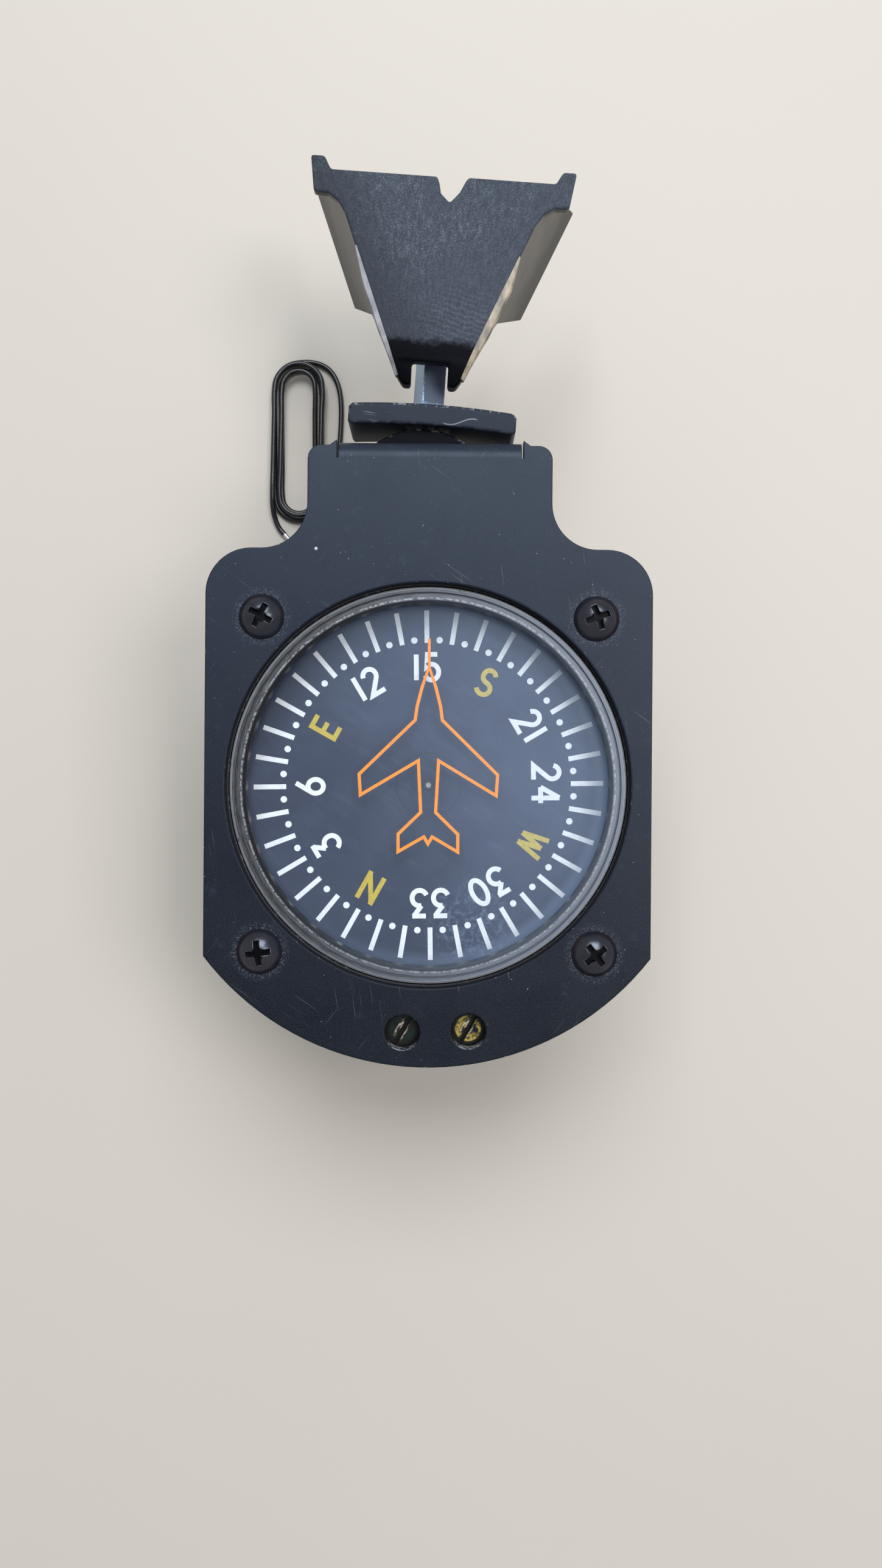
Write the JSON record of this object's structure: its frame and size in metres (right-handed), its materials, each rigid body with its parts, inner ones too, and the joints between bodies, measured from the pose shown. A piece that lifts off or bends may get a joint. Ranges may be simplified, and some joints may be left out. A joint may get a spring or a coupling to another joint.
{
  "type": "aircraft compass",
  "caption": "Vertical-card aircraft compass with a flat face plate, round dial, gear-driven card, compensator screws and an adjustable windshield bracket, with a coiled lamp lead.",
  "frame": {"origin": "on the dial axis, in the plane of the case back on which the compass lies", "axes": "+Z out of the dial face, +Y up the face towards the windshield bracket, +X to the right of the dial"},
  "size_m": [0.084, 0.1788, 0.0545],
  "materials": {
    "face_paint": "satin black paint with fine grain and small scratches",
    "case_paint": "cast aluminium, painted satin black",
    "oxide_steel": "black oxide with a brown sheen",
    "steel": "plain steel",
    "rubber": "matt black",
    "glass": "clear, slightly hazy",
    "worn_metal": "worn grey-brown, bright edges",
    "card_paint": "matt slate paint with white and ochre print",
    "brass": "turned brass",
    "jewel": "polished red synthetic jewel",
    "magnet": "ground magnet alloy",
    "copper": "spun copper",
    "socket_plastic": "moulded brown-black",
    "bulb_glass": "clear",
    "lead_jacket": "glossy black jacket",
    "tinned_tip": "tinned bare wire",
    "bracket_paint": "black paint, chipped to bare metal at the edges",
    "shoe_black": "black casting, front sanded rough, sides satin"
  },
  "bodies": {
    "case": {"bezel_plate": "face_paint", "face_screws": "oxide_steel", "face_nuts": "steel", "case_body": "case_paint", "rear_cover": "case_paint", "rear_gasket": "rubber", "rear_screws": "steel", "lens": "glass", "lens_gasket": "rubber", "retaining_ring": "worn_metal", "bridge": "brass", "bridge_screws": "brass", "card_bushes": "jewel", "spindle_jewels": "jewel", "damping_cup": "copper", "cup_rivets": "brass", "lamp_socket": "socket_plastic", "lamp_bulb": "bulb_glass", "lead_grommet": "rubber", "lead_stretch": "lead_jacket", "lead_hank": "lead_jacket", "lead_end": "tinned_tip", "comp_cover": "case_paint", "comp_cover_screw": "steel", "rocker_pad": "bracket_paint", "nut_cradle": "bracket_paint", "cradle_rivets": "steel"},
    "card": {"compass_card": "card_paint", "card_shaft": "steel", "card_gear": "brass"},
    "magnet_spindle": {"spindle": "steel", "spindle_gear": "brass", "magnet": "magnet"},
    "ns_adjuster": {"ns_screw": "brass", "ns_gear": "brass", "ns_magnet": "magnet"},
    "ns_counter": {"ns_idler": "brass", "ns_idler_magnet": "magnet"},
    "ew_adjuster": {"ew_screw": "brass", "ew_gear": "brass", "ew_magnet": "magnet"},
    "ew_counter": {"ew_idler": "brass", "ew_idler_magnet": "magnet"},
    "saddle_clamp": {"saddle": "bracket_paint", "post": "bracket_paint", "barrel_nut": "steel", "swivel_nut": "steel"},
    "swivel": {"swivel_barrel": "steel"},
    "windshield_shoe": {"shoe": "shoe_black"}
  },
  "joints": [
    {"name": "magnet_turn", "type": "hinge", "parent": "case", "child": "magnet_spindle", "pos_m": [0, 0, 0.02], "axis": [0, 1, 0], "continuous": true},
    {"name": "card_turn", "type": "hinge", "parent": "case", "child": "card", "pos_m": [0, 0, 0.042], "axis": [0, 0, 1], "continuous": true},
    {"name": "ns_adjust", "type": "hinge", "parent": "case", "child": "ns_adjuster", "pos_m": [-0.0045, -0.0464, 0.045], "axis": [0, 0, 1], "continuous": true},
    {"name": "ns_counter_turn", "type": "hinge", "parent": "case", "child": "ns_counter", "pos_m": [-0.00933, -0.04555, 0.045], "axis": [0, 0, 1], "continuous": true},
    {"name": "ew_adjust", "type": "hinge", "parent": "case", "child": "ew_adjuster", "pos_m": [0.0079, -0.0461, 0.045], "axis": [0, 0, 1], "continuous": true},
    {"name": "ew_counter_turn", "type": "hinge", "parent": "case", "child": "ew_counter", "pos_m": [0.01275, -0.04542, 0.045], "axis": [0, 0, 1], "continuous": true},
    {"name": "saddle_roll", "type": "hinge", "parent": "case", "child": "saddle_clamp", "pos_m": [-0.0019, 0.054, 0.041], "axis": [0, 0, 1], "range_deg": [-4.3, 11.7]},
    {"name": "shoe_swivel", "type": "hinge", "parent": "saddle_clamp", "child": "swivel", "pos_m": [0.00049, 0.09092, 0.041], "axis": [0.0645, 0.9979, 0], "range_deg": [-20, 20]},
    {"name": "shoe_pitch", "type": "hinge", "parent": "swivel", "child": "windshield_shoe", "pos_m": [0.00049, 0.09092, 0.041], "axis": [0.9979, -0.0645, 0], "range_deg": [-22, 10]}
  ],
  "couplings": [
    {"joint": "card_turn", "follows": "magnet_turn", "ratio": 1},
    {"joint": "ns_counter_turn", "follows": "ns_adjust", "ratio": -1},
    {"joint": "ew_counter_turn", "follows": "ew_adjust", "ratio": -1}
  ]
}
